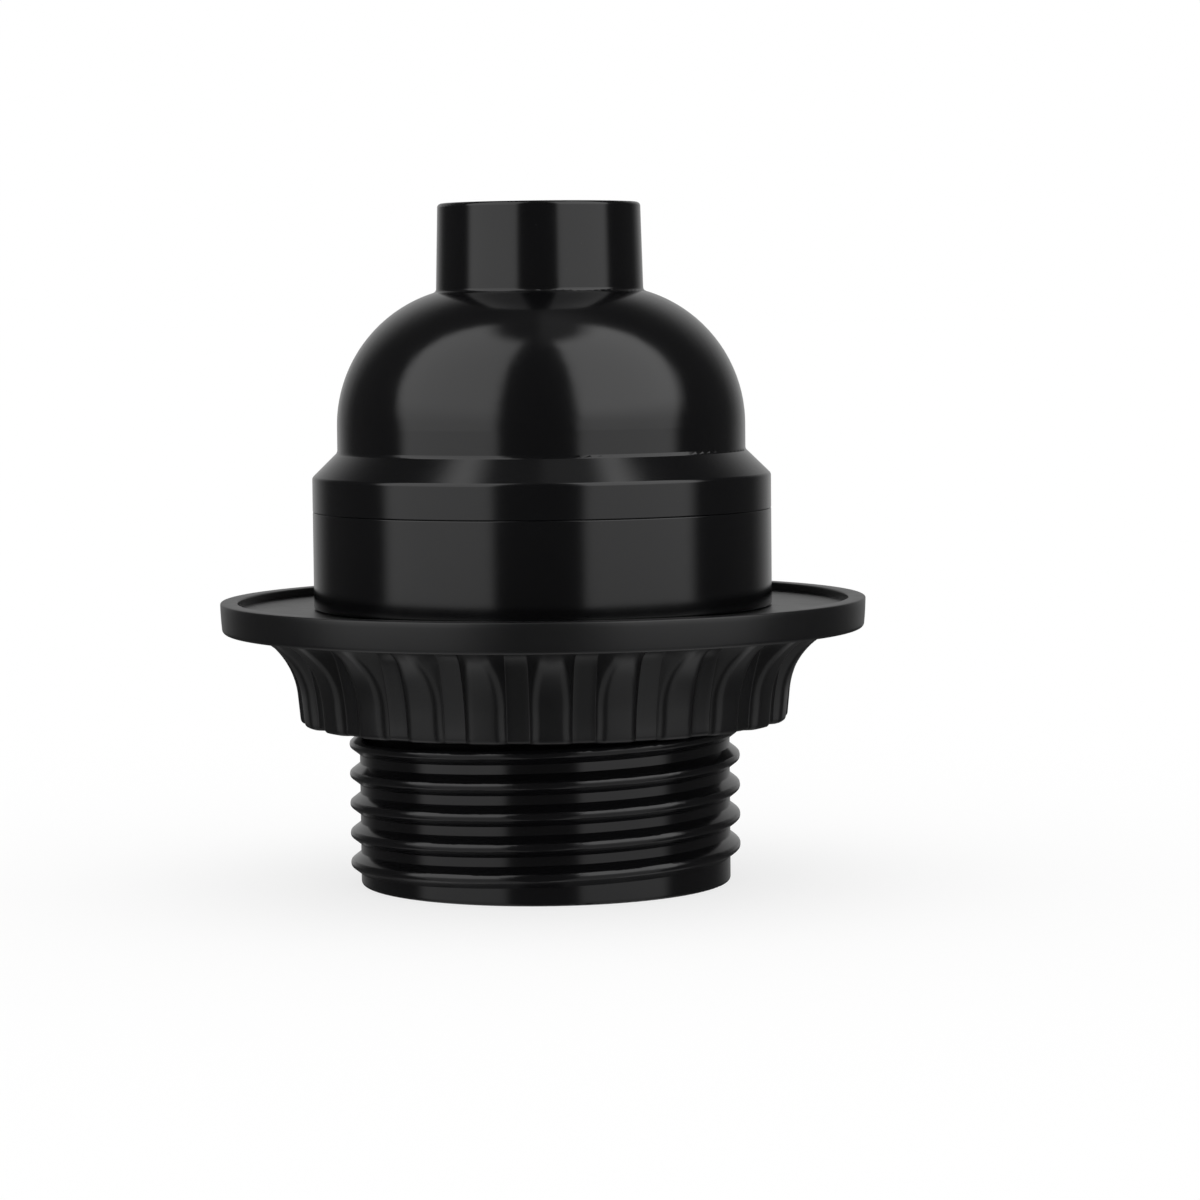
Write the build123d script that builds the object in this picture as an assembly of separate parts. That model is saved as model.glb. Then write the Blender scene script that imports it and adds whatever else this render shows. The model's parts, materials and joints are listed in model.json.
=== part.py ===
from build123d import *
from math import cos, radians, sin, sqrt
import os

# Screw-base lamp holder with a threaded skirt and a shade ring, in millimetres.
# It stands on the open end of its skirt: Z runs up its axis, and +Y is the back.

# Fits
running_gap = 0.06
seat_gap = 0.04
thread_gap = 0.08
easy_gap = 0.15
sunk = 0.3
cutter_margin = 1.0

# Skirt and its shade thread
skirt_radius = 15.8
skirt_bore_radius = 14.2
skirt_edge_round = 0.3
thread_crest_radius = 16.67
thread_pitch = 2.54
thread_root_width = 1.82
thread_crest_width = 0.45
thread_crest_round = 0.38
thread_root_sink = 0.02
thread_start_height = 1.62
thread_start_angle = 150.0
thread_top_relief = 1.2

# Body above the skirt
body_radius = 19.5
shoulder_height = 23.6
body_web = 1.8
body_edge_round = 0.25
seam_height = 31.83
seam_round = 0.1

# Cap: rim, sloping shoulder, dome and neck
cap_rim_height = 2.92
cap_slope_height = 2.1
dome_radius = 17.35
dome_arc_radius = 11.8
dome_spring_height = 39.0
neck_base_radius = 8.8
neck_top_radius = 8.6
neck_top_height = 57.8
neck_edge_round = 0.35
cap_corner_round = 0.4
ceiling_height = 47.6

# Screwed joint between the cap and the body
spigot_radius = 17.15
spigot_wall = 2.0

# Keys in the cap that stop the contact block from turning
key_width = 2.4
key_reach = 1.65
key_top_height = 38.0

# Shade ring
ring_flange_radius = 27.45
ring_rim_height = 2.6
ring_rim_width = 1.47
ring_rim_rise = 0.7
ring_draft = 0.12
ring_under_round = 0.4
ring_top_round = 0.15
collar_radius = 20.6
collar_length = 7.85
collar_flare_start = 1.15
flare_margin = 3.05
flute_count = 24
flute_first_angle = 98.5
flute_panel_radius = 19.85
flute_panel_width = 2.1
flute_side_slope = 20.0
flute_top_margin = 1.35
flute_top_round = 0.5
flute_ceiling = 0.12

# Contact block
block_flange_radius = 16.9
block_flange_thickness = 2.0
block_hub_radius = 14.7
block_hub_height = 4.0
barrier_position = 3.2
barrier_thickness = 1.2
barrier_rise = 3.0
barrier_length = 22.0

# Screw shell, sized for a 26 mm screw lamp cap
shell_inner_radius = 13.25
shell_sheet = 0.4
shell_mouth_height = 4.6
shell_lip = 0.3
shell_lip_height = 0.5
shell_corner_round = 0.9
shell_base_hole_radius = 3.2
shell_wall_top = 20.4
shell_neck_radius = 11.6
shell_cone_height = 2.6

# Insulating disc and centre contact
disc_radius = 6.6
disc_thickness = 0.8
contact_sheet = 0.4
contact_width = 5.0
contact_foot_reach = 2.9
contact_bend_reach = 5.6
contact_drop = 2.3
contact_tip_drop = 2.9
contact_tip_reach = 4.2
contact_bend_radius = 1.0
contact_tip_radius = 3.0

# Rivets
centre_rivet_radius = 1.3
shell_rivet_radius = 1.2
shell_rivet_offset = 8.9
neutral_rivet_angle = 40.0
plain_rivet_angle = 235.0
rivet_sink_gap = 0.5
rivet_head_radius = 1.95
rivet_head_height = 0.75
rivet_crown_share = 0.55
rivet_sink_depth = 1.5

# Terminals: plate, clamping washer and screw on each side
terminal_offset = 9.2
terminal_sheet = 0.8
terminal_length = 7.4
terminal_width = 8.6
terminal_ear_sheet = 0.6
terminal_ear_length = 3.4
terminal_ear_rise = 1.4
live_strip_width = 4.8
neutral_lug_width = 5.0
washer_sheet = 0.8
washer_corner_round = 0.6
screw_radius = 1.7
screw_head_radius = 3.3
screw_head_height = 1.9
screw_head_round = 0.7
screw_slot_width = 0.9
screw_slot_depth = 1.0
screw_length = 5.0
screw_well_margin = 0.5
live_slot_angle = 35.0
neutral_slot_angle = -20.0

# Threaded bushing in the neck and its set screw
bushing_bore_radius = 4.55
bushing_radius = 6.3
bushing_flange_flats = 15.2
bushing_flange_thickness = 2.0
bushing_flange_seat = 0.9
bushing_top_recess = 0.6
bushing_rim_bevel = 0.3
set_screw_radius = 1.7
set_screw_drop = 4.2
set_screw_length = 3.4
set_screw_slot_width = 0.6
set_screw_slot_depth = 0.8
set_screw_bevel = 0.25

# Heights and radii that follow from the sizes above
ledge_height = shoulder_height + body_web
block_base = ledge_height + seat_gap
block_flange_top = block_base + block_flange_thickness
block_top = block_flange_top + block_hub_height
spigot_end = block_flange_top + seat_gap
spigot_bore_radius = spigot_radius - spigot_wall
cap_slope_foot = seam_height + cap_rim_height
cap_slope_top = cap_slope_foot + cap_slope_height
dome_arc_centre = dome_radius - dome_arc_radius
neck_base_height = dome_spring_height + sqrt(dome_arc_radius**2 - (neck_base_radius - dome_arc_centre) ** 2)
recess_floor = shoulder_height - seat_gap
ring_top = recess_floor + ring_rim_rise
flange_underside = ring_top - ring_rim_height
collar_end = flange_underside - collar_length
ring_bore_radius = thread_crest_radius + thread_gap
shell_radius = shell_inner_radius + shell_sheet
shell_base_face = block_base - shell_sheet
disc_face = shell_base_face - disc_thickness
contact_face = disc_face - contact_sheet
plate_top = block_top + terminal_sheet
washer_base = plate_top + seat_gap
washer_top = washer_base + washer_sheet
screw_seat = washer_top + seat_gap
bushing_flange_top = ceiling_height + bushing_flange_seat
bushing_foot = bushing_flange_top - bushing_flange_thickness
bushing_top = neck_top_height - bushing_top_recess
set_screw_height = neck_top_height - set_screw_drop


def rounded(face, corners):
    """Round a face's corners, each given as (point, radius)."""
    for point, radius in corners:
        nearest = face.vertices().sort_by_distance(Vector(*point))[0]
        face = fillet(nearest, radius)
    return face


def lathe(face, corners=()):
    """Turn a face of (radius, height) about Z, after rounding the listed corners."""
    return revolve(Plane.XZ * rounded(face, corners), Axis.Z)


def turned(points, corners=()):
    """A lathe form whose outline is straight from point to point."""
    return lathe(make_face(Polyline(*points, close=True)), corners)


def rod(radius, low, high, x=0.0, y=0.0):
    """An upright cylinder from the height low to the height high."""
    height = high - low
    return Pos(x, y, low + height / 2) * Cylinder(radius, height)


def slab(x_range, y_range, z_range):
    """A box given by its two limits along each axis."""
    lows, highs = zip(x_range, y_range, z_range)
    size = [high - low for low, high in zip(lows, highs)]
    middle = [(high + low) / 2 for low, high in zip(lows, highs)]
    return Pos(*middle) * Box(*size)


def helical_ridge(turns):
    """The skirt's thread: a round-crested ridge on a right-hand helix, sunk a little into the wall."""
    rise = thread_crest_radius - skirt_radius
    crest = thread_crest_width / 2
    root = thread_root_width / 2
    edge = root + sunk
    section = Polyline(
        (-sunk, -edge),
        (-thread_root_sink, -edge),
        (-thread_root_sink, -root),
        (rise, -crest),
        (rise, crest),
        (-thread_root_sink, root),
        (-thread_root_sink, edge),
        (-sunk, edge),
        close=True,
    )
    corners = [((rise, -crest), thread_crest_round), ((rise, crest), thread_crest_round)]
    face = rounded(make_face(section), corners)
    path = Helix(pitch=thread_pitch, height=thread_pitch * turns, radius=skirt_radius)
    start = Plane(origin=path @ 0, x_dir=(1, 0, 0), z_dir=(0, 1, 0))
    ridge = sweep(start * face, path=path, is_frenet=True)
    return Pos(0, 0, thread_start_height) * Rot(0, 0, thread_start_angle) * ridge


def body():
    """One moulding: the plain barrel above, the shoulder, and the threaded skirt below."""
    socket_radius = spigot_radius + running_gap
    core = turned(
        [
            (skirt_bore_radius, 0),
            (skirt_radius, 0),
            (skirt_radius, shoulder_height),
            (body_radius, shoulder_height),
            (body_radius, seam_height),
            (socket_radius, seam_height),
            (socket_radius, ledge_height),
            (skirt_bore_radius, ledge_height),
        ],
        [
            ((skirt_bore_radius, 0), skirt_edge_round),
            ((skirt_radius, 0), skirt_edge_round),
            ((body_radius, shoulder_height), body_edge_round),
            ((body_radius, seam_height), seam_round),
        ],
    )
    thread_length = shoulder_height - thread_top_relief - thread_start_height - thread_root_width / 2
    return core + helical_ridge(thread_length / thread_pitch)


def cap_shell():
    """The cap's turned form: neck, dome, sloping shoulder, rim, and the spigot that screws into the body."""
    arc_start = Vector(dome_radius, dome_spring_height)
    arc_end = Vector(neck_base_radius, neck_base_height)
    lean = (arc_end - Vector(dome_arc_centre, dome_spring_height)).get_angle(Vector(1, 0, 0)) / 2
    arc_middle = Vector(
        dome_arc_centre + dome_arc_radius * cos(radians(lean)),
        dome_spring_height + dome_arc_radius * sin(radians(lean)),
    )
    inner_arc_radius = spigot_bore_radius - dome_arc_centre
    inner_reach = sqrt(inner_arc_radius**2 - (ceiling_height - dome_spring_height) ** 2)
    inner_start = Vector(dome_arc_centre + inner_reach, ceiling_height)
    inner_end = Vector(spigot_bore_radius, dome_spring_height)
    inner_middle = Vector(
        dome_arc_centre + inner_arc_radius * cos(radians(lean)),
        dome_spring_height + inner_arc_radius * sin(radians(lean)),
    )
    outline = [
        Line((bushing_radius, neck_top_height), (neck_top_radius, neck_top_height)),
        Line((neck_top_radius, neck_top_height), arc_end),
        ThreePointArc(arc_end, arc_middle, arc_start),
        Line(arc_start, (dome_radius, cap_slope_top)),
        Line((dome_radius, cap_slope_top), (body_radius, cap_slope_foot)),
        Line((body_radius, cap_slope_foot), (body_radius, seam_height)),
        Line((body_radius, seam_height), (spigot_radius, seam_height)),
        Line((spigot_radius, seam_height), (spigot_radius, spigot_end)),
        Line((spigot_radius, spigot_end), (spigot_bore_radius, spigot_end)),
        Line((spigot_bore_radius, spigot_end), inner_end),
        ThreePointArc(inner_end, inner_middle, inner_start),
        Line(inner_start, (bushing_radius, ceiling_height)),
        Line((bushing_radius, ceiling_height), (bushing_radius, neck_top_height)),
    ]
    corners = [
        ((neck_top_radius, neck_top_height), neck_edge_round),
        ((neck_base_radius, neck_base_height), neck_edge_round),
        ((dome_radius, cap_slope_top), cap_corner_round),
        ((body_radius, cap_slope_foot), cap_corner_round),
        ((body_radius, seam_height), seam_round),
    ]
    return lathe(make_face(Wire(outline)), corners)


def cap():
    """The cap with its inner keys, the seat for the bushing's flange and the set screw's hole."""
    form = cap_shell()
    keys_inner_radius = spigot_bore_radius - key_reach
    for side in (-1, 1):
        reach = sorted((side * keys_inner_radius, side * (spigot_bore_radius + sunk)))
        form += slab((-key_width / 2, key_width / 2), reach, (spigot_end, key_top_height))
    form -= hexagon(bushing_flange_flats + 2 * easy_gap, ceiling_height - sunk, bushing_flange_top)
    hole = Plane(origin=(0, 0, set_screw_height), z_dir=(0, 1, 0))
    hole_length = neck_base_radius + cutter_margin
    form -= hole * Pos(0, 0, hole_length / 2) * Cylinder(set_screw_radius + easy_gap, hole_length)
    return form


def hexagon(across_flats, low, high):
    """An upright hexagonal prism about the axis."""
    outline = RegularPolygon(across_flats / 2, 6, major_radius=False)
    return Pos(0, 0, low) * extrude(outline, high - low)


def neck_bushing():
    """Metal bushing in the neck: a tube for the stem, held from below by a hexagonal flange."""
    form = rod(bushing_radius - running_gap, bushing_foot, bushing_top)
    form += hexagon(bushing_flange_flats, bushing_foot, bushing_flange_top - seat_gap)
    form -= rod(bushing_bore_radius, bushing_foot, bushing_top)
    rim = form.edges().filter_by(GeomType.CIRCLE).sort_by(Axis.Z)[-2:]
    form = chamfer(rim, bushing_rim_bevel)
    hole = Plane(origin=(0, 0, set_screw_height), z_dir=(0, 1, 0))
    form -= hole * Pos(0, 0, bushing_radius / 2) * Cylinder(set_screw_radius + running_gap, bushing_radius)
    return form


def neck_set_screw():
    """Slotted set screw at the back of the neck, backed off so that its point clears the stem."""
    start = bushing_bore_radius + seat_gap
    across = Plane(origin=(0, start, set_screw_height), z_dir=(0, 1, 0))
    form = across * Pos(0, 0, set_screw_length / 2) * Cylinder(set_screw_radius, set_screw_length)
    form = chamfer(form.edges().filter_by(GeomType.CIRCLE), set_screw_bevel)
    end = start + set_screw_length
    slot = slab(
        (-set_screw_radius - cutter_margin, set_screw_radius + cutter_margin),
        (end - set_screw_slot_depth, end + cutter_margin),
        (set_screw_height - set_screw_slot_width / 2, set_screw_height + set_screw_slot_width / 2),
    )
    return form - slot


def ring_form():
    """The ring before its flutes: a dished flange above a collar that flares up into it."""
    flare_height = collar_length - collar_flare_start
    top_reach = ring_flange_radius - flare_margin - collar_radius
    flare_radius = (flare_height**2 + top_reach**2) / (2 * top_reach)
    flare_start = Vector(collar_radius, collar_end + collar_flare_start)
    flare_end = Vector(collar_radius + top_reach, flange_underside)
    centre = Vector(collar_radius + flare_radius, flare_start.Y)
    half = (flare_end - centre).get_angle(flare_start - centre) / 2
    flare_middle = centre + Vector(-flare_radius * cos(radians(half)), flare_radius * sin(radians(half)))
    rim_inner_radius = ring_flange_radius - ring_rim_width
    outline = [
        Line((ring_bore_radius, collar_end), (collar_radius, collar_end)),
        Line((collar_radius, collar_end), flare_start),
        ThreePointArc(flare_start, flare_middle, flare_end),
        Line(flare_end, (ring_flange_radius - ring_draft, flange_underside)),
        Line((ring_flange_radius - ring_draft, flange_underside), (ring_flange_radius, ring_top)),
        Line((ring_flange_radius, ring_top), (rim_inner_radius, ring_top)),
        Line((rim_inner_radius, ring_top), (rim_inner_radius, recess_floor)),
        Line((rim_inner_radius, recess_floor), (ring_bore_radius, recess_floor)),
        Line((ring_bore_radius, recess_floor), (ring_bore_radius, collar_end)),
    ]
    corners = [
        ((collar_radius, collar_end), ring_under_round),
        ((ring_flange_radius - ring_draft, flange_underside), ring_under_round),
        ((ring_flange_radius, ring_top), ring_top_round),
        ((rim_inner_radius, ring_top), ring_top_round),
    ]
    return lathe(make_face(Wire(outline)), corners)


def flute():
    """Cutter for one flute: an upright panel whose sides and top open outwards."""
    foot = collar_end - cutter_margin
    head = flange_underside - flute_top_margin
    panel = Pos(0, (foot + head) / 2) * Rectangle(flute_panel_width, head - foot)
    panel = fillet(panel.vertices().sort_by(Axis.Y)[-2:], flute_top_round)
    upright = Plane(origin=(flute_panel_radius, 0, 0), x_dir=(0, 1, 0), z_dir=(1, 0, 0))
    depth = ring_flange_radius - flute_panel_radius
    cutter = extrude(upright * panel, depth, taper=-flute_side_slope)
    ceiling = Plane.XY.offset(flange_underside - flute_ceiling)
    return split(cutter, bisect_by=ceiling, keep=Keep.BOTTOM)


def shade_ring():
    """The ring that clamps a shade against the shoulder, with grip flutes round its collar."""
    form = ring_form()
    cutter = flute()
    step = 360 / flute_count
    form -= [Rot(0, 0, step * i) * cutter for i in range(flute_count)]
    return Rot(0, 0, flute_first_angle) * form


def polar(radius, angle):
    """The X and Y of a point given by its radius and its angle in degrees."""
    return radius * cos(radians(angle)), radius * sin(radians(angle))


def contact_block():
    """Insulating block that rests on the ledge in the body and carries the contacts and terminals."""
    form = rod(block_flange_radius, block_base, block_flange_top)
    form += rod(block_hub_radius, block_flange_top - sunk, block_top)
    half_barrier = barrier_length / 2
    form += slab(
        (barrier_position - barrier_thickness / 2, barrier_position + barrier_thickness / 2),
        (-half_barrier, half_barrier),
        (block_top - sunk, block_top + barrier_rise),
    )
    slot_half = key_width / 2 + easy_gap
    slot_floor = spigot_bore_radius - key_reach - easy_gap
    for side in (-1, 1):
        reach = sorted((side * slot_floor, side * (block_flange_radius + cutter_margin)))
        form -= slab((-slot_half, slot_half), reach, (block_flange_top, block_top + cutter_margin))
    form -= rod(centre_rivet_radius + running_gap, block_base, block_top)
    for angle in (neutral_rivet_angle, plain_rivet_angle):
        x, y = polar(shell_rivet_offset, angle)
        form -= rod(shell_rivet_radius + running_gap, block_base, block_top, x, y)
    x, y = polar(shell_rivet_offset, plain_rivet_angle)
    form -= rod(rivet_head_radius + rivet_sink_gap, block_top - rivet_sink_depth, block_top, x, y)
    for side in (-1, 1):
        deep = screw_seat - screw_length - screw_well_margin
        form -= rod(screw_radius + screw_well_margin, deep, block_top, side * terminal_offset)
    return form


def screw_shell():
    """Metal screw shell, riveted by its base to the underside of the block; its wall is plain here."""
    lip_radius = shell_radius + shell_lip
    lip_top = shell_mouth_height + shell_lip_height
    cone_top = shell_wall_top + shell_cone_height
    form = turned(
        [
            (shell_base_hole_radius, shell_base_face),
            (shell_neck_radius, shell_base_face),
            (shell_neck_radius, cone_top),
            (shell_inner_radius, shell_wall_top),
            (shell_inner_radius, lip_top),
            (lip_radius - shell_sheet, shell_mouth_height),
            (lip_radius, shell_mouth_height),
            (shell_radius, lip_top),
            (shell_radius, shell_wall_top),
            (shell_neck_radius + shell_sheet, cone_top),
            (shell_neck_radius + shell_sheet, block_base),
            (shell_base_hole_radius, block_base),
        ],
        [
            ((shell_neck_radius + shell_sheet, block_base), shell_corner_round),
            ((shell_neck_radius, shell_base_face), shell_corner_round - shell_sheet),
        ],
    )
    for angle in (neutral_rivet_angle, plain_rivet_angle):
        x, y = polar(shell_rivet_offset, angle)
        form -= rod(shell_rivet_radius + running_gap, shell_base_face - sunk, block_base + sunk, x, y)
    return form


def insulating_disc():
    """Fibre disc between the shell's base and the centre contact."""
    form = rod(disc_radius, disc_face, shell_base_face)
    return form - rod(centre_rivet_radius + running_gap, disc_face, shell_base_face)


def centre_contact():
    """Springy strip, folded back under its own foot so that its tip meets the lamp's end contact."""
    foot = disc_face - contact_sheet / 2
    path = FilletPolyline(
        (-contact_foot_reach, foot),
        (contact_bend_reach, foot),
        (contact_bend_reach, foot - contact_drop),
        (0, foot - contact_tip_drop),
        (-contact_tip_reach, foot - contact_drop),
        radius=[contact_bend_radius, contact_bend_radius, contact_tip_radius],
    )
    strip = extrude(Plane.XZ * trace(path, contact_sheet), contact_width / 2, both=True)
    return strip - rod(centre_rivet_radius + running_gap, foot - contact_sheet, foot + contact_sheet)


def rivet(shank_radius, low, high, x=0.0, y=0.0):
    """A rivet whose two domed heads lie below low and above high."""
    crown = rivet_head_height * rivet_crown_share
    form = turned(
        [
            (0, low - rivet_head_height),
            (rivet_head_radius, low - rivet_head_height),
            (rivet_head_radius, low),
            (shank_radius, low),
            (shank_radius, high),
            (rivet_head_radius, high),
            (rivet_head_radius, high + rivet_head_height),
            (0, high + rivet_head_height),
        ],
        [
            ((rivet_head_radius, low - rivet_head_height), crown),
            ((rivet_head_radius, high + rivet_head_height), crown),
        ],
    )
    return Pos(x, y, 0) * form


def terminal_plate(side):
    """The part of a terminal plate that every side has: a tapped pad with two upturned ears."""
    pad = Pos(side * terminal_offset, 0) * Rectangle(terminal_length, terminal_width)
    form = Pos(0, 0, block_top) * extrude(pad, terminal_sheet)
    outer = terminal_offset + terminal_length / 2
    ear_x = sorted((side * outer, side * (outer - terminal_ear_length)))
    for wing in (-1, 1):
        ear_y = sorted((wing * terminal_width / 2, wing * (terminal_width / 2 - terminal_ear_sheet)))
        form += slab(ear_x, ear_y, (block_top, plate_top + terminal_ear_rise))
    return form


def tapped(plate, side):
    """A terminal plate with the hole for its screw."""
    return plate - rod(screw_radius + running_gap, block_top - sunk, plate_top + sunk, side * terminal_offset)


def live_terminal():
    """Plate on the left, carried to the middle, where the centre rivet holds it."""
    strip_end = terminal_offset - terminal_length / 2 + sunk
    strip = Pos(-strip_end / 2, 0) * Rectangle(strip_end, live_strip_width)
    strip += Circle(live_strip_width / 2)
    form = terminal_plate(-1) + Pos(0, 0, block_top) * extrude(strip, terminal_sheet)
    form -= rod(centre_rivet_radius + running_gap, block_top - sunk, plate_top + sunk)
    return tapped(form, -1)


def neutral_terminal():
    """Plate on the right, with a lug that one of the shell's rivets holds."""
    x, y = polar(shell_rivet_offset, neutral_rivet_angle)
    lug_foot = terminal_width / 2 - sunk
    lug = Pos(x, (lug_foot + y) / 2) * Rectangle(neutral_lug_width, y - lug_foot)
    lug += Pos(x, y) * Circle(neutral_lug_width / 2)
    form = terminal_plate(1) + Pos(0, 0, block_top) * extrude(lug, terminal_sheet)
    form -= rod(shell_rivet_radius + running_gap, block_top - sunk, plate_top + sunk, x, y)
    return tapped(form, 1)


def clamp_washer(side):
    """Square washer under a terminal screw's head, kept from turning by the plate's ears."""
    width = terminal_width - 2 * (terminal_ear_sheet + easy_gap)
    square = Pos(side * terminal_offset, 0) * RectangleRounded(width, width, washer_corner_round)
    form = Pos(0, 0, washer_base) * extrude(square, washer_sheet)
    return form - rod(screw_radius + thread_gap, washer_base, washer_top, side * terminal_offset)


def terminal_screw(side):
    """Slotted binding-head screw, fully home on its washer."""
    top = screw_seat + screw_head_height
    form = turned(
        [
            (0, screw_seat - screw_length),
            (screw_radius, screw_seat - screw_length),
            (screw_radius, screw_seat),
            (screw_head_radius, screw_seat),
            (screw_head_radius, top),
            (0, top),
        ],
        [((screw_head_radius, top), screw_head_round)],
    )
    form -= slab(
        (-screw_slot_width / 2, screw_slot_width / 2),
        (-screw_head_radius - cutter_margin, screw_head_radius + cutter_margin),
        (top - screw_slot_depth, top + cutter_margin),
    )
    turn = live_slot_angle if side < 0 else neutral_slot_angle
    return Pos(side * terminal_offset, 0, 0) * Rot(0, 0, turn) * form


def shell_rivet(angle, top):
    """One of the two rivets that hold the screw shell's base to the block."""
    x, y = polar(shell_rivet_offset, angle)
    return rivet(shell_rivet_radius, shell_base_face, top, x, y)


pieces = {
    "body": body(),
    "cap": cap(),
    "neck_bushing": neck_bushing(),
    "neck_set_screw": neck_set_screw(),
    "shade_ring": shade_ring(),
    "contact_block": contact_block(),
    "screw_shell": screw_shell(),
    "insulating_disc": insulating_disc(),
    "centre_contact": centre_contact(),
    "centre_rivet": rivet(centre_rivet_radius, contact_face, plate_top),
    "neutral_rivet": shell_rivet(neutral_rivet_angle, plate_top),
    "shell_rivet": shell_rivet(plain_rivet_angle, block_top - rivet_sink_depth),
    "live_terminal": live_terminal(),
    "neutral_terminal": neutral_terminal(),
    "live_washer": clamp_washer(-1),
    "neutral_washer": clamp_washer(1),
    "live_screw": terminal_screw(-1),
    "neutral_screw": terminal_screw(1),
}

os.makedirs("parts", exist_ok=True)
for name, piece in pieces.items():
    export_step(piece, f"parts/{name}.step")
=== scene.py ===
import json
from math import atan, atan2, cos, pi, radians, sin, sqrt, tan

import bpy
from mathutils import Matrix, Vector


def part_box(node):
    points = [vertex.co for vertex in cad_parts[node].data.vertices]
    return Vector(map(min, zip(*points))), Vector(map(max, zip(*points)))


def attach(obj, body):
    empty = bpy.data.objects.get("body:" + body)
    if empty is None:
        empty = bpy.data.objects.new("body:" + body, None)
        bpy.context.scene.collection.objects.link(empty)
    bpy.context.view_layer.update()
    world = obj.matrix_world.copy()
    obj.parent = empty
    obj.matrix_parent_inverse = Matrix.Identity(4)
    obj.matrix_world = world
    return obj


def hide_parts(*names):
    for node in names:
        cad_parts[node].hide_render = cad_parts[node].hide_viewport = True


MM = 0.001

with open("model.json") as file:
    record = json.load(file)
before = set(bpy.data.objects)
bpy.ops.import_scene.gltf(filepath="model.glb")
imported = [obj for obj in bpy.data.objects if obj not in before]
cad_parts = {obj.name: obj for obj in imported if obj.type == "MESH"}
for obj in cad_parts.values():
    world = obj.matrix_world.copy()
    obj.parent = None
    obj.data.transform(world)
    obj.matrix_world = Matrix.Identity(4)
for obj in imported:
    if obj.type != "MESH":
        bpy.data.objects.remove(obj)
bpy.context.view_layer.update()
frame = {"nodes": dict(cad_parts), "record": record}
nodes = frame["nodes"]


# Node and socket helpers

def new_material(name):
    """An empty node material, and its shader output."""
    material = bpy.data.materials.new(name)
    material.use_nodes = True
    tree = material.node_tree
    tree.nodes.clear()
    return material, tree, tree.nodes.new("ShaderNodeOutputMaterial")


def put(tree, kind, inputs=None, **settings):
    """A new node with its properties set; its inputs are plain values or other nodes' sockets."""
    node = tree.nodes.new(kind)
    for key, value in settings.items():
        setattr(node, key, value)
    for key, value in (inputs or {}).items():
        if isinstance(value, bpy.types.NodeSocket):
            tree.links.new(value, node.inputs[key])
        else:
            node.inputs[key].default_value = value
    return node


def maths(tree, operation, first, second=0.0):
    """The result of one arithmetic step on two values or sockets."""
    return put(tree, "ShaderNodeMath", {0: first, 1: second}, operation=operation).outputs[0]


def ramp(tree, value, low, high, start=0.0, end=1.0):
    """A smooth change from start to end as value goes from low to high."""
    node = put(
        tree,
        "ShaderNodeMapRange",
        {"Value": value, "From Min": low, "From Max": high, "To Min": start, "To Max": end},
        interpolation_type="SMOOTHSTEP",
    )
    return node.outputs["Result"]


def blend_colour(tree, share, first, second):
    """A colour between two others."""
    node = put(tree, "ShaderNodeMix", {"Factor": share}, data_type="RGBA")
    for socket, colour in ((node.inputs[6], first), (node.inputs[7], second)):
        if isinstance(colour, bpy.types.NodeSocket):
            tree.links.new(colour, socket)
        else:
            socket.default_value = (*colour, 1.0)
    return node.outputs[2]


def new_group(name, inputs, outputs):
    """An empty shader node group with named sockets."""
    group = bpy.data.node_groups.new(name, "ShaderNodeTree")
    for label, kind, value in inputs:
        socket = group.interface.new_socket(label, in_out="INPUT", socket_type=kind)
        if value is not None:
            socket.default_value = value
    for label, kind in outputs:
        group.interface.new_socket(label, in_out="OUTPUT", socket_type=kind)
    return group, group.nodes.new("NodeGroupInput"), group.nodes.new("NodeGroupOutput")


def stretch(tree, place, factors):
    """A place with each coordinate multiplied by its own factor."""
    return put(tree, "ShaderNodeVectorMath", {0: place, 1: factors}, operation="MULTIPLY").outputs[0]


def millimetres(tree):
    """The piece's own coordinates, in millimetres."""
    return stretch(tree, put(tree, "ShaderNodeTexCoord").outputs["Object"], (1 / MM,) * 3)


# Effects shared by several materials, with the scale of their patterns per millimetre

WAVE_SCALE = 0.22
RUB_SCALE = 0.5
SPECK_SCALE = 0.8
SPECK_SIZE = 0.03
SPECK_RARITY = 0.72
STAIN_SCALE = 0.45
STAIN_EDGE = (0.48, 0.72)


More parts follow.
